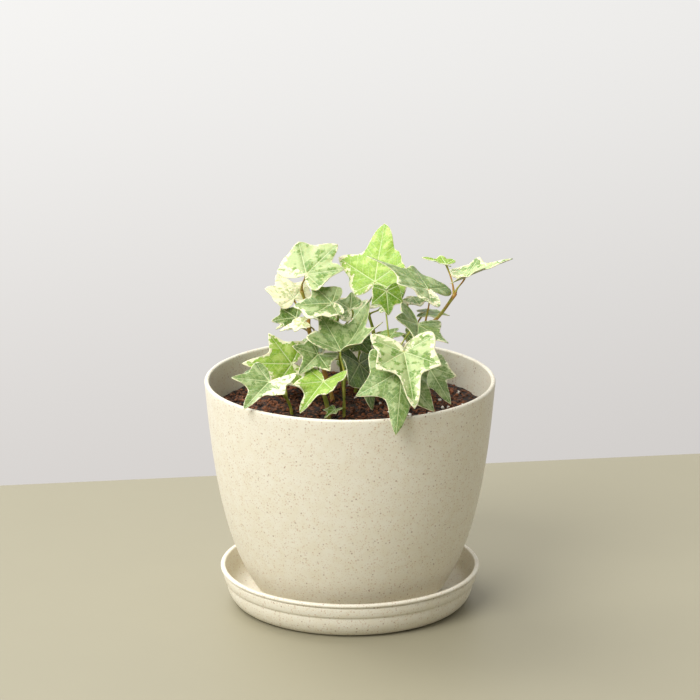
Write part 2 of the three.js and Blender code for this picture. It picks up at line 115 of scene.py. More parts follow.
# Each leaf: name, vine, place along the vine, the stalk's [heading, climb, length], the blade's
# [heading, rise, roll], size, form, bend and colour. These repeat the CAD part's rows.
LEAVES = [
    ["mottled_high", "left", 1, [285, 50, 15], [45, 30, 15], "large", "round", "flat", "mottled"],
    ["cream_left", "left", 0.8, [150, 45, 12], [120, 30, 0], "middle", "broad", "flat", "cream"],
    ["folded_left", "mid_left", 1, [255, 65, 20], [180, 0, -30], "middle", "round", "raised", "grey"],
    ["dark_left", "left", 0.7, [210, 45, 11], [195, 0, -30], "small", "broad", "flat", "dark"],
    ["cream_low_left", "left", 0.6, [255, 40, 26], [180, -15, -15], "small", "spear", "flat", "cream"],
    ["olive_left", "left", 0.65, [165, 30, 14], [210, -15, 0], "tiny", "star", "flat", "lime"],
    ["dark_mid", "mid_left", 0.75, [240, 40, 15], [195, -30, 0], "small", "broad", "flat", "dark"],
    ["small_bright", "mid_left", 0.9, [105, 30, 14], [0, 45, 30], "tiny", "star", "flat", "bright"],
    ["behind_star", "mid_left", 0.95, [30, 60, 16], [135, 15, -45], "small", "broad", "flat", "grey"],
    ["tall_bright", "tall", 1, [285, 55, 24], [80, 45, -15], "largest", "lopsided", "flat", "lime"],
    ["bright_under", "front_right", 1, [100, 70, 42], [280, -55, 0], "small", "broad", "flat", "bright"],
    ["star_back", "tall", 0.95, [330, 45, 10], [30, 30, 0], "small", "broad", "flat", "mottled"],
    ["shade_right", "tall", 0.7, [300, 30, 22], [195, -15, 0], "small", "broad", "flat", "bright"],
    ["shade_right_two", "tall", 0.75, [330, 15, 20], [345, -45, 15], "tiny", "star", "flat", "bright"],
    ["dark_small", "tall", 0.5, [225, 55, 23], [315, -30, 15], "small", "broad", "flat", "dark"],
    ["star_centre", "centre", 1, [120, 75, 12], [60, 10, 0], "largest", "star", "cupped", "grey"],
    ["dark_centre", "centre", 0.7, [60, 36, 20], [300, -50, -30], "large", "broad", "flat", "dark"],
    ["soil_shoot", "centre", 0.45, [240, 15, 10], [225, -15, 0], "tiny", "star", "raised", "bright"],
    ["lime_front", "low_left", 1, [285, 15, 14], [240, -20, 0], "large", "spear", "raised", "lime"],
    ["grey_left_mid", "low_left", 0.95, [90, 75, 15], [240, -15, -30], "middle", "star", "raised", "grey"],
    ["lime_left", "low_left", 0.9, [150, 30, 19], [195, 6, -60], "large", "star", "flat", "lime"],
    ["low_left", "far_left", 1, [255, 30, 25], [240, -15, -10], "large", "star", "raised", "grey"],
    ["left_edge", "far_left", 0.8, [120, 30, 24], [180, -15, 0], "small", "broad", "flat", "dark"],
    ["grey_right_high", "right", 0.7, [280, 70, 26], [165, 30, 0], "largest", "spear", "flat", "grey"],
    ["young_tip", "right", 0.98, [135, 70, 17], [165, 15, 0], "small", "spear", "raised", "lime"],
    ["right_end", "right", 1, [15, 60, 10], [0, 25, 0], "large", "spear", "raised", "mottled"],
    ["right_strap", "right", 0.6, [75, 30, 22], [0, 0, 0], "small", "broad", "flat", "grey"],
    ["right_back_edge", "right", 0.65, [100, 35, 27], [345, 0, 0], "small", "broad", "drooped", "mottled"],
    ["grey_right", "front_right", 0.9, [15, 62, 31], [270, -15, -30], "large", "star", "raised", "grey"],
    ["mottled_front", "front_right", 1, [282, 34, 35], [280, -30, 0],
     "largest", "spear", "raised", "mottled"],
    ["grey_hanging", "front_right", 0.9, [278, 22, 41], [265, -45, -20],
     "largest", "star", "drooped", "grey"],
    ["grey_behind_right", "front_right", 0.75, [340, 30, 24], [300, -30, 20],
     "large", "spear", "drooped", "grey"],
    ["back_high", "mid_left", 0.85, [90, 20, 26], [90, 10, 0], "large", "broad", "raised", "mottled"],
    ["back_small_left", "left", 0.35, [120, 30, 22], [150, -10, 5], "middle", "star", "raised", "grey"],
    ["back_left", "back", 0.75, [160, 10, 30], [135, -25, -5], "large", "broad", "raised", "mottled"],
    ["back_mid", "back", 1, [105, 15, 20], [105, -25, 5], "large", "spear", "raised", "grey"],
    ["back_right", "back", 0.9, [15, 15, 20], [60, -20, 5], "large", "broad", "raised", "lime"],
    ["back_right_low", "back", 0.6, [350, 10, 30], [30, -15, -5], "middle", "star", "flat", "grey"],
    ["back_low", "back", 0.5, [75, 15, 14], [75, -5, 0], "large", "broad", "raised", "bright"],
    ["back_left_low", "back", 0.45, [190, 10, 30], [165, -5, 5], "middle", "star", "flat", "grey"],
]

# How cream each lobe is, as [middle, left, right, left basal, right basal], and how marbled the
# blade is: first for each colour, then for the leaves that differ from their colour's usual look.
TONE_LOOK = {
    "grey": ((0.2, 0.3, 0.15, 0.3, 0.2), 0.3), "mottled": ((0.4, 0.4, 0.4, 0.5, 0.45), 0.5),
    "cream": ((0.9, 1, 0.8, 1, 0.8), 0.5), "dark": ((0.08, 0.08, 0.08, 0.1, 0.08), 0.2),
    "lime": ((0.25, 0.3, 0.2, 0.3, 0.25), 0.2), "bright": ((0.1, 0.1, 0.15, 0.1, 0.15), 0.05),
}
OWN_LOOK = {
    "mottled_high": ((0.3, 0.3, 0.15, 1, 0.4), 0.6),
    "cream_low_left": ((0.9, 0.6, 0.5, 0.3, 0.3), 0.3),
    "folded_left": ((0.35, 0.7, 0.1, 0.5, 0.1), 0.35),
    "behind_star": ((0.3, 0.6, 0.2, 0.6, 0.3), 0.4),
    "star_centre": ((0.12, 0.45, 0.2, 0.3, 0.15), 0.35),
    "tall_bright": ((0.08, 0.5, 0.15, 0.4, 0.15), 0.2),
    "grey_right_high": ((0.2, 0.5, 0.12, 0.7, 0.1), 0.3),
    "low_left": ((0.15, 1, 0.1, 0.9, 0.1), 0.3),
    "lime_left": ((0.4, 0.45, 0.35, 0.5, 0.4), 0.3),
    "lime_front": ((0.3, 0.25, 0.4, 0.2, 0.3), 0.1),
    "young_tip": ((0, 0, 0, 0, 0), 0),
    "mottled_front": ((0.45, 0.5, 0.45, 0.5, 0.5), 0.6),
    "grey_hanging": ((0.12, 0.15, 0.1, 0.15, 0.1), 0.25),
}
# Deep green, usual green and marbled patches of each leaf colour.
LEAF_COLOURS = {
    "grey": ("#5a7a36", "#869e56", "#b6c48c"), "mottled": ("#567c28", "#7e9e40", "#c6d296"),
    # the dark colour is a deeper green, and is darker again by painted shade for the leaves that sit in
    # shadow
    "cream": ("#a8b070", "#c8cc8c", "#dedfb0"), "dark": ("#3c5c18", "#5c7c26", "#7f9848"),
    "lime": ("#78a024", "#98ba38", "#b8ce68"), "bright": ("#568410", "#7e9e20", "#a0ba48"),
}

# the shape shared by all leaves, for a leaf one unit long: angles in degrees, and reaches
SIDE_ANGLE, SIDE_REACH = 54, 0.8
BASAL_ANGLE, BASAL_REACH = 118, 0.56
UPPER_ANGLE, UPPER_REACH = 27, 0.6
LOWER_ANGLE, LOWER_REACH = 84, 0.52
HEART_NOTCH = 0.03
# where a lobe's edge turns between its tip and the notch beside it, and how sharply a blade folds
SHOULDER, THROAT, CREASE_WIDTH = 0.45, 0.22, 0.04
EDGE_STEPS = 10
LEAF_SPOKES = 10 * EDGE_STEPS
LEAF_RINGS = 18
CAD_BLADE, CAD_GAP, CAD_PETIOLE = 0.8, 0.3, 0.6


# ---- colour and nodes -------------------------------------------------------------------------

def linear(hex_colour):
    """A hex sRGB colour as linear red, green and blue."""
    parts = [int(hex_colour[i:i + 2], 16) / 255 for i in (1, 3, 5)]
    return tuple(c / 12.92 if c <= 0.04045 else ((c + 0.055) / 1.055) ** 2.4 for c in parts)


def add(tree, kind, settings=None, links=None):
    """Adds a node with its settings; each input is linked to a node or an output, or set to a value."""
    new = tree.nodes.new(kind)
    for key, value in (settings or {}).items():
        setattr(new, key, value)
    inputs = [socket for socket in new.inputs if socket.enabled]
    for key, value in (links or {}).items():
        socket = inputs[key] if isinstance(key, int) else next(s for s in inputs if s.name == key)
        if isinstance(value, bpy.types.Node):
            value = next(output for output in value.outputs if output.enabled)
        if isinstance(value, bpy.types.NodeSocket):
            tree.links.new(value, socket)
        elif socket.type == "RGBA" and len(value) == 3:
            socket.default_value = (*value, 1)
        else:
            socket.default_value = value
    return new


def finish_material(name, build, roughness, **sockets):
    """A material whose shader takes its colour, and the fine relief, from the nodes that build adds."""
    material = bpy.data.materials.new(name)
    material.use_nodes = True
    tree = material.node_tree
    tree.nodes.clear()
    place = add(tree, "ShaderNodeTexCoord").outputs["Object"]
    colour, height, depth = build(tree, place)
    links = {"Base Color": colour, "Roughness": roughness, **sockets}
    if height:
        links["Normal"] = add(tree, "ShaderNodeBump", {}, {"Height": height, "Distance": depth})
    shader = add(tree, "ShaderNodeBsdfPrincipled", {}, links)
    add(tree, "ShaderNodeOutputMaterial", {}, {"Surface": shader})
    return material


def per_metre(millimetres):
    """A texture scale whose features are this many millimetres apart."""
    return 1 / (millimetres * MM)


# Straw-fibre composite, moulded: ivory resin with ground straw, so faint clouds, many faint
# flecks and a few brown ones, and a satin face with very fine grain.
def straw_composite(settings):
    def build(tree, place):
        cloud = add(tree, NOISE, {}, {"Vector": place, "Scale": per_metre(5), "Detail": 4.0})
        patch = add(tree, RANGE, SMOOTH, {0: cloud, 1: 0.3, 2: 0.75})
        colour = add(tree, MIX, COLOURS, {0: patch, 1: settings.body, 2: settings.cloud})
        for spacing, size, share, strength, tint in FLECKS:
            cells = add(tree, CELLS, {}, {"Vector": place, "Scale": per_metre(spacing)})
            near = add(tree, RANGE, SMOOTH, {0: cells.outputs["Distance"], 1: size / spacing * 0.6,
                                             2: size / spacing, 3: 1.0, 4: 0.0})
            drawn = add(tree, "ShaderNodeSeparateColor", {}, {0: cells.outputs["Color"]})
            chosen = add(tree, MATHS, {"operation": "LESS_THAN"}, {0: drawn.outputs[0], 1: share})
            tone = add(tree, RANGE, {}, {0: drawn.outputs[1], 3: strength * 0.3, 4: strength})
            weight = add(tree, MATHS, TIMES, {0: add(tree, MATHS, TIMES, {0: near, 1: chosen}), 1: tone})
            colour = add(tree, MIX, COLOURS, {0: weight, 1: colour, 2: getattr(settings, tint)})
        grain = add(tree, NOISE, {}, {"Vector": place, "Scale": per_metre(0.9), "Detail": 3.0})
        return colour, grain, 0.03 * MM
    return finish_material("straw_composite_moulded", build, 0.46, IOR=1.48)


# Ivy leaf: a waxy upper face, pale veins, marbled green, and a cream margin where the leaf
# makes no green. The blade is thin, so some light passes into it.
def ivy_leaf(tone, settings):
    def build(tree, place):
        deep, mid, pale = (linear(colour) for colour in LEAF_COLOURS[tone])
        read = {name: add(tree, "ShaderNodeAttribute", {"attribute_name": name}).outputs["Fac"]
                for name in LEAF_VALUES}
        moved = add(tree, "ShaderNodeVectorMath", PLUS, {0: place, 1: read["seed"]})
        patches = add(tree, NOISE, {}, {"Vector": moved, "Scale": per_metre(5), "Detail": 3.0})
        fine = add(tree, NOISE, {}, {"Vector": moved, "Scale": per_metre(1.2), "Detail": 4.0})
        greens = add(tree, RANGE, {}, {0: fine, 1: 0.3, 2: 0.65})
        colour = add(tree, MIX, COLOURS, {0: greens, 1: deep, 2: mid})
        level = add(tree, MATHS, {"operation": "MULTIPLY_ADD"}, {0: read["marble"], 1: 0.3, 2: patches})
        marbled = add(tree, RANGE, SMOOTH, {0: level, 1: 0.6, 2: 0.67, 3: 0.0, 4: 0.7})
        colour = add(tree, MIX, COLOURS, {0: marbled, 1: colour, 2: pale})
        # the blade is darker beside its main veins
        beside = add(tree, RANGE, SMOOTH, {0: read["vein_mm"], 1: 0.3, 2: 2.6, 3: 0.4, 4: 0.0})
        colour = add(tree, MIX, COLOURS, {0: beside, 1: colour, 2: deep})
        # cream runs in from the edge in ragged tongues, wider where the lobe is creamier
        ragged = add(tree, NOISE, {}, {"Vector": moved, "Scale": per_metre(2.1), "Detail": 4.0})
        uneven = add(tree, RANGE, {}, {0: ragged, 1: 0.36, 2: 0.68, 3: -0.1, 4: 1.5})
        share = add(tree, MATHS, {"operation": "POWER"}, {0: read["cream"], 1: 2.2})
        width = add(tree, RANGE, {}, {0: share, 3: 0.22, 4: 11.0})
        tongue = add(tree, MATHS, TIMES, {0: width, 1: uneven})
        beyond = add(tree, MATHS, MINUS, {0: read["edge_mm"], 1: tongue})
        cream = add(tree, RANGE, SMOOTH, {0: beyond, 1: -0.15, 2: 0.25, 3: 0.9, 4: 0.0})
        colour = add(tree, MIX, COLOURS, {0: cream, 1: colour, 2: settings.margin})
        # main veins taper towards the tips, and side veins slant off them
        thin = add(tree, RANGE, {}, {0: read["vein_run"], 3: 0.4, 4: 0.12})
        away = add(tree, MATHS, {"operation": "DIVIDE"}, {0: read["vein_mm"], 1: thin})
        main = add(tree, RANGE, SMOOTH, {0: away, 1: 0.4, 2: 1.2, 3: 1.0, 4: 0.0})
        run = add(tree, MATHS, TIMES, {0: read["vein_run"], 1: 24.0})
        wander = add(tree, RANGE, {}, {0: patches, 3: -0.6, 4: 0.6})
        slant = add(tree, MATHS, {"operation": "MULTIPLY_ADD"}, {0: read["vein_mm"], 1: -0.8, 2: run})
        slant = add(tree, MATHS, PLUS, {0: slant, 1: wander})
        wave = add(tree, MATHS, {"operation": "PINGPONG"}, {0: slant, 1: 2.0})
        side = add(tree, RANGE, SMOOTH, {0: wave, 1: 0.05, 2: 0.25, 3: 1.0, 4: 0.0})
        net = add(tree, CELLS, {"feature": "DISTANCE_TO_EDGE"}, {"Vector": moved, "Scale": per_metre(1.9)})
        mesh = add(tree, RANGE, SMOOTH, {0: net, 1: 0.02, 2: 0.1, 3: 1.0, 4: 0.0})
        for vein, strength in ((mesh, 0.16), (side, 0.34), (main, 0.72)):
            weight = add(tree, MATHS, TIMES, {0: vein, 1: strength})
            colour = add(tree, MIX, COLOURS, {0: weight, 1: colour, 2: settings.vein})
        lower = add(tree, MATHS, TIMES, {0: read["under"], 1: 0.45})
        colour = add(tree, MIX, COLOURS, {0: lower, 1: colour, 2: settings.underside})
        sunk = add(tree, MATHS, {"operation": "MULTIPLY_ADD"}, {0: side, 1: 0.5, 2: main})
        relief = add(tree, MATHS, MINUS, {0: fine, 1: sunk})
        return colour, relief, 0.08 * MM
    return finish_material(f"ivy_leaf_{tone}", build, 0.42, IOR=1.45,
                           **{"Subsurface Weight": 0.12, "Subsurface Scale": 0.6 * MM})


# Ivy stem: green and waxy when young, brown and slightly rough where it turns to wood.
def ivy_stem(name, young, old):
    def build(tree, place):
        streak = add(tree, NOISE, {}, {"Vector": place, "Scale": per_metre(4), "Detail": 3.0})
        turn = add(tree, RANGE, SMOOTH, {0: streak, 1: 0.35, 2: 0.6})
        return add(tree, MIX, COLOURS, {0: turn, 1: young, 2: old}), streak, 0.1 * MM
    return finish_material(name, build, 0.5, IOR=1.45)


# Damp peat and bark: nearly black brown with reddish bark, and no shine.
def potting_mix(name, settings, start, end):
    def build(tree, place):
        crumbs = add(tree, NOISE, {}, {"Vector": place, "Scale": per_metre(3), "Detail": 5.0})
        reddish = add(tree, RANGE, SMOOTH, {0: crumbs, 1: start, 2: end})
        return add(tree, MIX, COLOURS, {0: reddish, 1: settings.peat, 2: settings.bark}), crumbs, 0.5 * MM
    return finish_material(name, build, 0.9)


# Perlite: puffed white glass foam, so chalky and pitted.
def perlite_foam(settings):
    def build(tree, place):
        pits = add(tree, NOISE, {}, {"Vector": place, "Scale": per_metre(0.7), "Detail": 3.0})
        return add(tree, MIX, COLOURS, {0: pits, 1: settings.perlite, 2: settings.pit}), pits, 0.2 * MM
    return finish_material("perlite_foam", build, 0.85)


# Painted table top: plain and matt, with the faintest mottling of rolled paint.
def painted_board(settings):
    def build(tree, place):
        rolled = add(tree, NOISE, {}, {"Vector": place, "Scale": per_metre(40), "Detail": 2.0})
        darker = tuple(channel * 0.97 for channel in settings.floor)
        return add(tree, MIX, COLOURS, {0: rolled, 1: settings.floor, 2: darker}), None, 0
    return finish_material("painted_board", build, 0.55)


# ---- meshes -----------------------------------------------------------------------------------

def finish_piece(bm, name, material, nodes):
    """Makes a piece of a bmesh: it rides on the body, and stands for its CAD nodes."""
    mesh = bpy.data.meshes.new(name)
    bm.to_mesh(mesh)
    bm.free()
    mesh.polygons.foreach_set("use_smooth", [True] * len(mesh.polygons))
    piece = bpy.data.objects.new(name, mesh)
    bpy.context.scene.collection.objects.link(piece)
    mesh.materials.append(material)
    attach(piece, "root")
    if nodes:
        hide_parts(*nodes)
    return piece


def turned(profile, steps):
    """A closed turned solid from radius and height pairs in millimetres, both ends on the axis."""
    bm = bmesh.new()
    line = [bm.verts.new((radius * MM, 0, height * MM)) for radius, height in profile]
    edges = [bm.edges.new(pair) for pair in zip(line, line[1:])]
    bmesh.ops.spin(bm, geom=line + edges, cent=(0, 0, 0), axis=(0, 0, 1), angle=2 * pi,
                   steps=steps, use_merge=True)
    bmesh.ops.remove_doubles(bm, verts=bm.verts, dist=0.001 * MM)
    bmesh.ops.recalc_face_normals(bm, faces=bm.faces)
    return bm


def curve_points(ends, count):
    """Points of a cubic curve through flat control points."""
    return [tuple(point[:2]) for point in
            interpolate_bezier(*(Vector((*end, 0)) for end in ends), count)]


def arc(centre, radius, start, end, count=8):
    """Points of a round edge, angles in degrees."""
    angles = [radians(start + (end - start) * i / (count - 1)) for i in range(count)]
    return [(centre[0] + radius * cos(angle), centre[1] + radius * sin(angle)) for angle in angles]


def pot_side(settings):
    """The pot's outside, from foot to rim, as radius and height."""
    foot, base = settings.foot_radius / MM, POT_LOW.z / MM
    rim, top = POT_HIGH.x / MM, POT_HIGH.z / MM
    return curve_points([(foot, base), *SIDE_HANDLES, (rim, top)], 48)


def inner_radius(settings, height):
    """The pot's inside radius at a height, both in millimetres."""
    radii, heights = zip(*pot_side(settings))
    return float(np.interp(height, heights, radii)) - settings.wall / MM


def catmull_rom(points, count):
    """Points along a centripetal curve through the given ones, as the CAD's vines run."""
    points = [Vector(point) for point in points]
    points = [2 * points[0] - points[1], *points, 2 * points[-1] - points[-2]]
    found = []
    for p0, p1, p2, p3 in zip(points, points[1:], points[2:], points[3:]):
        before, here, after = ((b - a).length ** 0.5 for a, b in ((p0, p1), (p1, p2), (p2, p3)))
        leave = ((p1 - p0) / before - (p2 - p0) / (before + here) + (p2 - p1) / here) * here
        arrive = ((p2 - p1) / here - (p3 - p1) / (here + after) + (p3 - p2) / after) * here
        for step in range(count):
            t = step / count
            bend = (2 * p1 - 2 * p2 + leave + arrive) * t ** 3
            found.append(bend + (-3 * p1 + 3 * p2 - 2 * leave - arrive) * t * t + leave * t + p1)
    return found + [points[-2]]


def point_along(line, share):
    """The point a share of the way along a line of points."""
    lengths = [0.0]
    for a, b in zip(line, line[1:]):
        lengths.append(lengths[-1] + (b - a).length)
    return Vector([np.interp(share * lengths[-1], lengths, [p[axis] for p in line]) for axis in range(3)])


def tube(bm, line, radii, sides):
    """Extrudes a ring of vertices along a line in millimetres, and closes both ends."""
    ring = bmesh.ops.create_circle(bm, cap_ends=False, radius=1, segments=sides)["verts"]
    edges = list({edge for vert in ring for edge in vert.link_edges})
    start = list(ring)
    across = None
    for index, (centre, radius) in enumerate(zip(line, radii)):
        if index:
            grown = bmesh.ops.extrude_edge_only(bm, edges=edges)["geom"]
            ring = [part for part in grown if isinstance(part, bmesh.types.BMVert)]
            edges = [part for part in grown if isinstance(part, bmesh.types.BMEdge)
                     and all(vert in ring for vert in part.verts)]
        ahead = line[min(index + 1, len(line) - 1)] - line[max(index - 1, 0)]
        ahead.normalize()
        across = across or ahead.orthogonal()
        across = (across - ahead * across.dot(ahead)).normalized()
        other = ahead.cross(across)
        for number, vert in enumerate(ring):
            angle = 2 * pi * number / sides
            vert.co = (centre + (across * cos(angle) + other * sin(angle)) * radius) * MM
    bmesh.ops.contextual_create(bm, geom=start)
    bmesh.ops.contextual_create(bm, geom=ring)


# ---- leaves -----------------------------------------------------------------------------------

def polar(angle, reach):
    """A flat place at an angle in degrees from the midrib."""
    return Vector((reach * cos(radians(angle)), reach * sin(radians(angle))))


def lobe_edge(tip, notch, side, direction, fullness):
    """Control points of a lobe's edge: full near the tip and round in the notch."""
    run = notch - tip
    outward = Vector((run.y, -run.x)) * (side * direction / run.length)
    shoulder = tip + run * SHOULDER + outward * run.length * fullness
    around = Vector((-notch.y, notch.x)).normalized() * side * direction
    return tip, shoulder, notch - around * run.length * THROAT, notch


def half_outline(form, side):
    """One half of a flat leaf's edge, from the middle tip to the heart."""
    lobes, notches, spread, (middle_full, side_full, basal_full) = form
    lobe, basal = (lobes[0], lobes[2]) if side > 0 else (lobes[1], lobes[3])
    upper_depth, lower_depth = (notches[0], notches[2]) if side > 0 else (notches[1], notches[3])
    upper = polar(side * UPPER_ANGLE * spread, UPPER_REACH * upper_depth * (1 + lobe) / 2)
    side_tip = polar(side * SIDE_ANGLE * spread, SIDE_REACH * lobe)
    lower = polar(side * LOWER_ANGLE * spread, LOWER_REACH * lower_depth * (lobe + basal) / 2)
    basal_tip = polar(side * BASAL_ANGLE * spread, BASAL_REACH * basal)
    heart = Vector((-HEART_NOTCH, 0))
    reach = (basal_tip - heart).length
    round_lobe = basal_tip + polar(side * (BASAL_ANGLE * spread + 70), reach * 0.4)
    inward = heart + polar(side * 150, reach * 0.62)
    edges = [lobe_edge(polar(0, 1), upper, side, 1, middle_full),
             lobe_edge(side_tip, upper, side, -1, side_full)[::-1],
             lobe_edge(side_tip, lower, side, 1, side_full),
             lobe_edge(basal_tip, lower, side, -1, basal_full)[::-1],
             (basal_tip, round_lobe, inward, heart)]
    return [point for edge in edges for point in curve_points(edge, EDGE_STEPS + 1)[:-1]]


def outline(form):
    """The whole edge of a flat leaf, from its middle tip all the way round."""
    right = half_outline(form, -1)[1:][::-1]
    return np.array([*half_outline(form, 1), (-HEART_NOTCH, 0), *right])


def leaf_axes(blade):
    """A blade's own directions: along its midrib, across it, and out of its upper face."""
    turn, rise, roll = (radians(angle) for angle in blade)
    along = Vector((cos(rise) * cos(turn), cos(rise) * sin(turn), sin(rise)))
    across = Vector((-sin(turn), cos(turn), 0))
    out = along.cross(across)
    rolled = Matrix.Rotation(roll, 3, along)
    return along, rolled @ across, rolled @ out


def heart_of(vine, joint, stalk):
    """A leaf's heart: the end of its stalk, which starts on the vine."""
    heading, climb, length = stalk
    away = Vector((cos(radians(climb)) * cos(radians(heading)),
                   cos(radians(climb)) * sin(radians(heading)), sin(radians(climb))))
    return point_along(catmull_rom(VINES[vine], 24), joint) + away * length


def bent(flat, height, length, bend):
    """Flat leaf points folded along the midrib and curled down their length, in millimetres."""
    fold, curl = radians(bend[0]), radians(bend[1]) / length
    u, v = flat[:, 0], flat[:, 1]
    crease = np.abs(v) / np.hypot(v, CREASE_WIDTH * length)
    level = v * cos(fold) - np.sign(v) * height * crease * sin(fold)
    lift = np.abs(v) * crease * sin(fold) + height * cos(fold)
    return np.stack([(1 / curl + lift) * np.sin(u * curl), level,
                     (1 / curl + lift) * np.cos(u * curl) - 1 / curl], 1)


def leaf_disc():
    """A disc of rings and spokes, one unit across, that every blade is shaped from."""
    bm = bmesh.new()
    line = [bm.verts.new(((ring / LEAF_RINGS) ** 0.85, 0, 0)) for ring in range(LEAF_RINGS + 1)]
    edges = [bm.edges.new(pair) for pair in zip(line, line[1:])]
    bmesh.ops.spin(bm, geom=line + edges, cent=(0, 0, 0), axis=(0, 0, 1), angle=2 * pi,
                   steps=LEAF_SPOKES, use_merge=True)
    bmesh.ops.remove_doubles(bm, verts=bm.verts, dist=1e-5)
    bmesh.ops.recalc_face_normals(bm, faces=bm.faces)
    if sum(face.normal.z for face in bm.faces) < 0:
        bmesh.ops.reverse_faces(bm, faces=bm.faces)
    return bm


def nearest_vein(flat, form, length):
    """For each point: millimetres to the nearest main vein, and how far along it, 0 to 1."""
    lobes, _, spread, _ = form
    side, basal = SIDE_ANGLE * spread, BASAL_ANGLE * spread
    veins = [(0, 1.0), (side, SIDE_REACH * lobes[0]), (-side, SIDE_REACH * lobes[1]),
             (basal, BASAL_REACH * lobes[2]), (-basal, BASAL_REACH * lobes[3])]
    found = []
    for angle, reach in veins:
        way = np.array(polar(angle, 1))
        run = np.clip(flat @ way, 0, reach)
        found.append((np.linalg.norm(flat - run[:, None] * way, axis=1) * length, run / reach))
    distances = np.stack([item[0] for item in found])
    pick = distances.argmin(0)
    points = np.arange(len(flat))
    return distances[pick, points], np.stack([item[1] for item in found])[pick, points]


def lobe_mix(flat, creams):
    """How cream each point is, from the lobes on either side of it."""
    angles = np.degrees(np.arctan2(flat[:, 1], flat[:, 0]))
    middle, left, right, left_basal, right_basal = creams
    stops = [-180, -BASAL_ANGLE, -SIDE_ANGLE, 0, SIDE_ANGLE, BASAL_ANGLE, 180]
    return np.interp(angles, stops, [right_basal, right_basal, right, middle, left, left_basal, left_basal])


def blade_relief(angle, reach, vein_mm, size_share, wave, settings):
    """Millimetres that the blade stands off its bent sheet: rippled edge, quilting between veins."""
    ripple = np.sin(5 * angle + wave[0]) + 0.6 * np.sin(9 * angle + wave[1])
    height = settings.ripple / MM * size_share * ripple * reach ** 3
    quilt = np.clip(vein_mm / (3.5 * size_share), 0, 1)
    return height + settings.quilting / MM * size_share * (np.sqrt(quilt) - 1) * (1 - reach ** 4)


def place_blade(bm, row, local, values, thickness):
    """Moves a disc's vertices to a leaf's place, gives them its values, and thickens the blade."""
    along, across, out = leaf_axes(row[4])
    heart = heart_of(*row[1:4])
    layers = {key: bm.verts.layers.float.new(key) for key in (*values, "under")}
    for index, vert in enumerate(bm.verts):
        u, v, lift = local[index]
        vert.co = (heart + along * u + across * v + out * lift) * MM
        for key, numbers in values.items():
            vert[layers[key]] = float(numbers[index])
    upper = set(bm.verts)
    bm.normal_update()
    bmesh.ops.solidify(bm, geom=bm.faces, thickness=thickness)
    for vert in bm.verts:
        vert[layers["under"]] = 0.0 if vert in upper else 1.0
    bmesh.ops.recalc_face_normals(bm, faces=bm.faces)


def leaf_piece(disc, row, number, materials, settings):
    """One leaf: a disc drawn out to the leaf's outline, bent, rippled and thickened."""
    name, (size, form_name, bend_name, tone) = row[0], row[5:]
    form, length = FORMS[form_name], SIZES[size]
    bm = disc.copy()
    bm.verts.ensure_lookup_table()
    places = np.array([vert.co[:2] for vert in bm.verts])
    angle, reach = np.arctan2(places[:, 1], places[:, 0]), np.hypot(*places.T)
    spoke = np.round(angle / (2 * pi) * LEAF_SPOKES).astype(int) % LEAF_SPOKES
    edge = outline(form)
    flat = edge[spoke] * reach[:, None]
    vein_mm, vein_run = nearest_vein(flat, form, length)
    edge_mm = np.linalg.norm(flat[:, None] - edge[None], axis=2).min(1) * length
    rng = np.random.default_rng(number + 11)
    wave = rng.uniform(0, 2 * pi, 3)
    height = blade_relief(angle, reach, vein_mm, length / SIZES["largest"], wave, settings)
    creams, marble = OWN_LOOK.get(name, TONE_LOOK[tone])
    values = {"edge_mm": edge_mm, "vein_mm": vein_mm, "vein_run": vein_run,
              "cream": lobe_mix(flat, creams), "marble": np.full(len(flat), marble),
              "seed": np.full(len(flat), rng.uniform(0, 5))}
    local = bent(flat * length, height, length, BENDS[bend_name])
    place_blade(bm, row, local, values, settings.thickness)
    return finish_piece(bm, f"ivy_{name}", materials[tone], [f"leaf_{name}"])


# ---- settings ---------------------------------------------------------------------------------

def length_setting(name, description, default):
    return FloatProperty(name=name, description=description, default=default, unit="LENGTH",
                         subtype="DISTANCE", min=0, precision=4)


def colour_setting(name, description, default):
    return FloatVectorProperty(name=name, description=description, default=linear(default), size=3,
                               subtype="COLOR", min=0, max=1)


class PotSettings(PropertyGroup):
    wall: length_setting("Wall", "Thickness of the pot's wall", 2.4 * MM)
    foot_radius: length_setting("Foot radius", "Radius of the pot's foot", 44 * MM)
    body: colour_setting("Body", "Lighter colour of the composite", "#eae5d4")
    cloud: colour_setting("Cloud", "Darker colour of the composite", "#e6dfca")
    fleck: colour_setting("Fleck", "Colour of the pale straw flecks", "#b88a62")
    dark_fleck: colour_setting("Dark fleck", "Colour of the sparse brown flecks", "#8a5840")
    steps: IntProperty(name="Steps", description="Sides of the turned pieces", default=176, min=32)


class LeafSettings(PropertyGroup):
    thickness: length_setting("Thickness", "Thickness of a blade", 0.35 * MM)
    ripple: length_setting("Ripple", "How far the edge of the largest leaf waves", 0.7 * MM)
    quilting: length_setting("Quilting", "How deep the main veins lie in the blade", 0.6 * MM)
    margin: colour_setting("Margin", "Colour of the cream edge", "#efeac4")
    vein: colour_setting("Vein", "Colour of the veins", "#d6dfa6")
    underside: colour_setting("Underside", "Paler colour of the lower face", "#b2bd8c")


class StemSettings(PropertyGroup):
    stalk: length_setting("Stalk radius", "Radius of a leaf stalk", 0.6 * MM)
    young: colour_setting("Young", "Colour of green stems", "#b0ae4c")
    old: colour_setting("Old", "Colour of brown stems", "#b5843c")


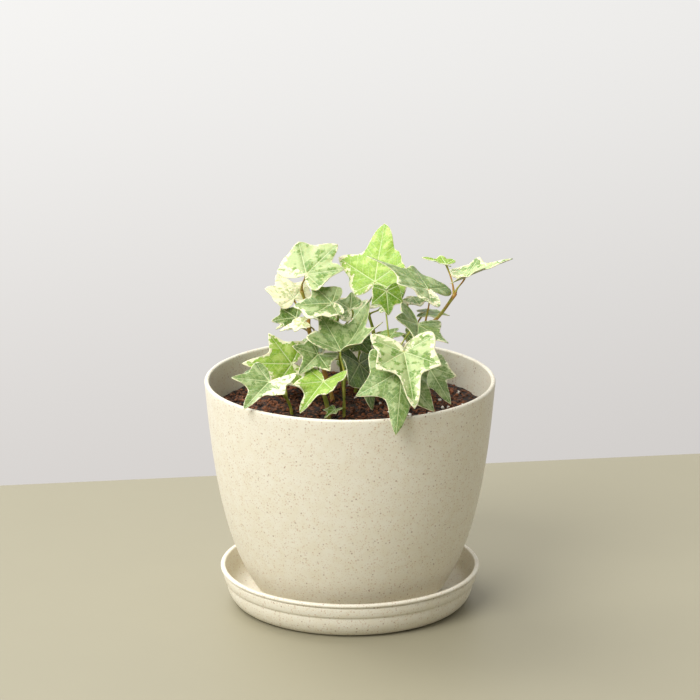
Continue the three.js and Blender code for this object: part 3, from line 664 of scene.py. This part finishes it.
class SoilSettings(PropertyGroup):
    chips: IntProperty(name="Chips", description="Number of bark chips", default=2600, min=0)
    fibres: IntProperty(name="Fibres", description="Number of coir fibres", default=500, min=0)
    grains: IntProperty(name="Perlite", description="Number of perlite grains", default=130, min=0)
    peat: colour_setting("Peat", "Darkest colour of the mix", "#1f140d")
    bark: colour_setting("Bark", "Reddish colour of the bark", "#8e5838")
    perlite: colour_setting("Perlite colour", "Colour of the perlite", "#f6f3ea")
    pit: colour_setting("Pits", "Colour of the pits in the perlite", "#d2ccbf")


class StageSettings(PropertyGroup):
    floor: colour_setting("Floor", "Colour of the table top", "#99937c")
    key: FloatProperty(name="Key", description="Power of the key light", default=76, unit="POWER", min=0)
    fill: FloatProperty(name="Fill", description="How much lighter one side of the room is",
                        default=1, min=0)
    distance: length_setting("Distance", "Distance from the camera to the pot", 2.0)
    elevation: FloatProperty(name="Elevation", description="Height angle of the camera",
                             default=radians(16), subtype="ANGLE")


# ---- operators --------------------------------------------------------------------------------

class MakePot(Operator):
    """Makes the pot with its rounded rim and foot ring"""
    bl_idname = "ivy.pot"
    bl_label = "Pot"

    def execute(self, context):
        settings = context.scene.ivy_pot
        side, wall = pot_side(settings), settings.wall / MM
        rim, top, base = POT_HIGH.x / MM, POT_HIGH.z / MM, POT_LOW.z / MM
        foot, ceiling = settings.foot_radius / MM, base + FOOT_RING_HEIGHT
        floor = ceiling + POT_FLOOR
        lip = arc((rim - wall / 2, top - wall / 2), wall / 2, 0, 180, 12)
        heights = np.linspace(top - wall, floor + CORNER_HEIGHT, 40)
        inside = [(inner_radius(settings, height), height) for height in heights]
        ring = foot - FOOT_RING_WIDTH
        under = [(0, ceiling), (ring - 1, ceiling), (ring, base), (foot - FOOT_EDGE, base)]
        bottom = [(inside[-1][0] - CORNER_WIDTH, floor), (0, floor)]
        profile = [*under, *side[1:-2], *lip, *inside[1:], *bottom]
        material = straw_composite(settings)
        pot = turned(profile, settings.steps)
        finish_piece(pot, "planter_pot", material, ["pot"])
        return {"FINISHED"}


class MakeSaucer(Operator):
    """Makes the saucer with its rolled lip, groove, band and bowl"""
    bl_idname = "ivy.saucer"
    bl_label = "Saucer"

    def execute(self, context):
        settings = context.scene.ivy_pot
        radius, top = SAUCER_HIGH.x / MM, SAUCER_HIGH.z / MM
        step, groove = SAUCER_STEP, SAUCER_GROOVE
        bowl = curve_points([(SAUCER_FOOT, 0), *BOWL_HANDLES, (BOWL_TOP, step - 0.5)], 24)
        band = [(65.2, step), (65.5, step + 0.5), (66.6, groove - 0.5), (66.5, groove - 0.2),
                (66, groove), (66, groove + 0.4), (66.5, groove + 0.6)]
        lip = arc((radius - 1, top - 1), 1, -40, 90) + arc((radius - 1.6, top - 1), 1, 90, 180)
        inside = curve_points([(62.6, step), (62, 6), (57, SAUCER_FLOOR), (50, SAUCER_FLOOR)], 24)
        profile = [(0, 0), *bowl, *band, *lip, *inside, (0, SAUCER_FLOOR)]
        material = straw_composite(settings)
        saucer = turned(profile, settings.steps)
        finish_piece(saucer, "planter_saucer", material, ["saucer"])
        return {"FINISHED"}


class MakeSoil(Operator):
    """Makes the bed of potting mix with its bark chips, fibres and perlite"""
    bl_idname = "ivy.soil"
    bl_label = "Soil"

    def execute(self, context):
        settings, pot = context.scene.ivy_soil, context.scene.ivy_pot
        rim = inner_radius(pot, SOIL_LEVEL) - SOIL_GAP
        low = SOIL_LOW.z / MM
        top = [(rim * (1 - i / 40), self.level(rim * (1 - i / 40))) for i in range(41)]
        side = [(inner_radius(pot, height) - SOIL_GAP, height) for height in (low + 4, 30, 60, 90)]
        bm = turned([(0, low), (side[0][0] - 3, low), *side, *top], 120)
        for vert in bm.verts:
            if vert.co.z > 100 * MM:
                vert.co.z += 1.1 * MM * noise.fractal(vert.co * per_metre(7), 1, 2, 4)
        dark = potting_mix("potting_mix_peat", settings, 0.45, 0.8)
        finish_piece(bm, "soil_bed", dark, ["soil"])
        rng = np.random.default_rng(5)
        chips = bmesh.new()
        for _ in range(settings.chips):
            self.grain(chips, rng, rim, rng.uniform(0.5, 1.7), (1, 0.65, 0.4))
        for _ in range(settings.fibres):
            self.fibre(chips, rng, rim)
        bark = potting_mix("potting_mix_bark", settings, 0.34, 0.6)
        finish_piece(chips, "soil_bark", bark, [])
        foam = bmesh.new()
        for index in range(settings.grains):
            spot = PERLITE_SPOT if index % 3 else None
            self.grain(foam, rng, rim, rng.uniform(0.7, 1.4), (1, 0.9, 0.8), spot)
        finish_piece(foam, "soil_perlite", perlite_foam(settings), [])
        return {"FINISHED"}

    @staticmethod
    def level(radius):
        """Height of the soil at a radius: slightly mounded in the middle."""
        return SOIL_LEVEL + SOIL_MOUND * cos(radius / SOIL_REACH * pi)

    def place(self, rng, rim, spot):
        """A seeded place on the soil, or near a spot where the grains have gathered."""
        if spot:
            x, y = rng.normal(spot, PERLITE_SPREAD)
            x, y = (value * min(1, (rim - 2) / max(hypot(x, y), 1)) for value in (x, y))
        else:
            radius, angle = (rim - 1.5) * rng.uniform() ** 0.5, rng.uniform(0, 2 * pi)
            x, y = radius * cos(angle), radius * sin(angle)
        return Vector((x, y, self.level(hypot(x, y)) + rng.uniform(-0.2, 0.9))) * MM

    def grain(self, bm, rng, rim, radius, shape, spot=None):
        turn = Euler(rng.uniform(-0.6, 0.6, 2).tolist() + [rng.uniform(0, 6.3)]).to_matrix().to_4x4()
        scale = Matrix.Diagonal((*(radius * MM * part for part in shape), 1))
        matrix = Matrix.Translation(self.place(rng, rim, spot)) @ turn @ scale
        verts = bmesh.ops.create_icosphere(bm, subdivisions=1, radius=1, matrix=matrix)["verts"]
        for vert in verts:
            vert.co += Vector(rng.uniform(-0.22, 0.22, 3)) * radius * MM

    def fibre(self, bm, rng, rim):
        turn = Euler((pi / 2 + rng.uniform(-0.3, 0.3), 0, rng.uniform(0, 6.3))).to_matrix().to_4x4()
        matrix = Matrix.Translation(self.place(rng, rim, None)) @ turn
        bmesh.ops.create_cone(bm, cap_ends=True, segments=4, radius1=0.16 * MM, radius2=0.1 * MM,
                              depth=rng.uniform(3, 8) * MM, matrix=matrix)


class MakeVines(Operator):
    """Makes the rooted vines with the stalks that carry the leaves"""
    bl_idname = "ivy.vines"
    bl_label = "Vines"

    def execute(self, context):
        settings = context.scene.ivy_stems
        green = ivy_stem("ivy_stem_green", settings.young, linear("#8c9a34"))
        brown = ivy_stem("ivy_stem_woody", settings.young, settings.old)
        for name, points in VINES.items():
            bm = bmesh.new()
            line = catmull_rom(points, 8)
            share = [index / (len(line) - 1) for index in range(len(line))]
            joints = [row[2] for row in LEAVES if row[1] == name]
            swell = [1 + 0.3 * max(np.exp(-((s - joint) / 0.04) ** 2) for joint in joints) for s in share]
            radii = [VINE_RADIUS[name] * (1 - 0.25 * s) * more for s, more in zip(share, swell)]
            tube(bm, line, radii, 14)
            for row in LEAVES:
                if row[1] == name:
                    self.stalk(bm, row, settings.stalk / MM)
            bmesh.ops.recalc_face_normals(bm, faces=bm.faces)
            woody = name in WOODY_VINES
            finish_piece(bm, f"ivy_vine_{name}", brown if woody else green, [f"vine_{name}"])
        return {"FINISHED"}

    @staticmethod
    def stalk(bm, row, radius):
        """A stalk leaves the vine upwards, and reaches its leaf from behind and below the heart."""
        _, vine, joint, stalk, blade = row[:5]
        along, _, out = leaf_axes(blade)
        start = point_along(catmull_rom(VINES[vine], 24), joint)
        heart = heart_of(vine, joint, stalk)
        end = heart - out * 0.45 - along * 0.3
        reach = (heart - out * (CAD_BLADE / 2 + CAD_GAP + CAD_PETIOLE) - start).length
        rising = start + Vector((0, 0, 0.35 * reach))
        arriving = end - along * 0.25 * reach - out * 0.3 * reach
        line = interpolate_bezier(start, rising, arriving, end, 22)
        radii = [radius * (1.25 - 0.4 * sin(pi * index / 21) - 0.3 * index / 21) for index in range(22)]
        tube(bm, line, radii, 10)


class MakeLeaves(Operator):
    """Makes every leaf blade, lobed, veined, rippled and bent into place"""
    bl_idname = "ivy.leaves"
    bl_label = "Leaves"

    def execute(self, context):
        settings = context.scene.ivy_leaves
        materials = {tone: ivy_leaf(tone, settings) for tone in LEAF_COLOURS}
        disc = leaf_disc()
        for number, row in enumerate(LEAVES):
            leaf_piece(disc, row, number, materials, settings)
        disc.free()
        return {"FINISHED"}


class MakeStage(Operator):
    """Makes the table, the soft light, the plain backdrop and the camera"""
    bl_idname = "ivy.stage"
    bl_label = "Stage"

    def execute(self, context):
        settings = context.scene.ivy_stage
        scene = context.scene
        self.table(settings)
        self.light("key_light", (-1.3, -1.8, 2.2), 1.8, settings.key)
        self.light("side_light", (1.9, -1.6, 1.4), 2.2, settings.key * 0.05)
        self.light("back_light", (-1.0, 0.9, 1.9), 1.6, settings.key * 0.36)
        self.backdrop(scene, settings.fill)
        aim = Vector((0, 0, 135 * MM))
        away = Vector((0, -cos(settings.elevation), sin(settings.elevation)))
        data = bpy.data.cameras.new("camera")
        data.lens, data.sensor_width = 200, 36
        camera = bpy.data.objects.new("camera", data)
        camera.location = aim + away * settings.distance
        camera.rotation_euler = (pi / 2 - settings.elevation, 0, 0)
        scene.collection.objects.link(camera)
        scene.camera = camera
        scene.view_settings.view_transform = "Standard"
        return {"FINISHED"}

    @staticmethod
    def table(settings):
        """A board whose far edge runs a little askew behind the pot."""
        bm = bmesh.new()
        middle, askew = 0.22, 0.15
        far = [(x, middle + askew * x, 0) for x in (4, -4)]
        corners = [(-4, -4, 0), (4, -4, 0), *far]
        bm.faces.new([bm.verts.new(corner) for corner in corners])
        bm.normal_update()
        bmesh.ops.solidify(bm, geom=bm.faces, thickness=0.03)
        bmesh.ops.recalc_face_normals(bm, faces=bm.faces)
        mesh = bpy.data.meshes.new("table")
        bm.to_mesh(mesh)
        bm.free()
        mesh.materials.append(painted_board(settings))
        table = bpy.data.objects.new("table", mesh)
        bpy.context.scene.collection.objects.link(table)

    @staticmethod
    def light(name, place, size, power):
        data = bpy.data.lights.new(name, "AREA")
        data.shape, data.size, data.energy = "DISK", size, power
        lamp = bpy.data.objects.new(name, data)
        lamp.location = place
        lamp.rotation_euler = (Vector((0, 0, 0.1)) - lamp.location).to_track_quat("-Z", "Y").to_euler()
        bpy.context.scene.collection.objects.link(lamp)

    @staticmethod
    def backdrop(scene, brightness):
        """A plain room, lighter behind and to the left, and slightly darker towards the table."""
        world = bpy.data.worlds.new("plain_room")
        world.use_nodes = True
        tree = world.node_tree
        tree.nodes.clear()
        way = add(tree, "ShaderNodeTexCoord").outputs["Generated"]
        height = add(tree, "ShaderNodeSeparateXYZ", {}, {0: way}).outputs["Z"]
        low = add(tree, RANGE, SMOOTH, {0: height, 1: -0.34, 2: -0.17, 3: 1.0, 4: 0.0})
        colour = add(tree, MIX, COLOURS, {0: low, 1: linear("#f2f1ef"), 2: linear("#d6d2cf")})
        window = add(tree, "ShaderNodeVectorMath", {"operation": "DOT_PRODUCT"},
                     {0: way, 1: ROOM_SLOPE}).outputs["Value"]
        level = add(tree, MATHS, {"operation": "MULTIPLY_ADD"}, {0: window, 1: brightness, 2: ROOM_LEVEL})
        light = add(tree, "ShaderNodeBackground", {}, {"Color": colour, "Strength": level})
        add(tree, "ShaderNodeOutputWorld", {}, {"Surface": light})
        scene.world = world


class IvyPanel(Panel):
    """Lists the plant's pieces"""
    bl_idname = "VIEW3D_PT_potted_ivy"
    bl_label = "Potted Ivy"
    bl_space_type = "VIEW_3D"
    bl_region_type = "UI"
    bl_category = "Potted Ivy"

    def draw(self, context):
        for operator in OPERATORS:
            self.layout.operator(operator.bl_idname)


SETTINGS = {"ivy_pot": PotSettings, "ivy_leaves": LeafSettings, "ivy_stems": StemSettings,
            "ivy_soil": SoilSettings, "ivy_stage": StageSettings}
OPERATORS = (MakePot, MakeSaucer, MakeSoil, MakeVines, MakeLeaves, MakeStage)
CLASSES = (*SETTINGS.values(), *OPERATORS, IvyPanel)


def register():
    for item in CLASSES:
        bpy.utils.register_class(item)
    for name, group in SETTINGS.items():
        setattr(bpy.types.Scene, name, PointerProperty(type=group))


def unregister():
    for name in SETTINGS:
        delattr(bpy.types.Scene, name)
    for item in reversed(CLASSES):
        bpy.utils.unregister_class(item)


def main():
    register()
    bpy.ops.ivy.pot()
    bpy.ops.ivy.saucer()
    bpy.ops.ivy.soil()
    bpy.ops.ivy.vines()
    bpy.ops.ivy.leaves()
    bpy.ops.ivy.stage()
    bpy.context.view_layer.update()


if __name__ == "__main__":
    main()
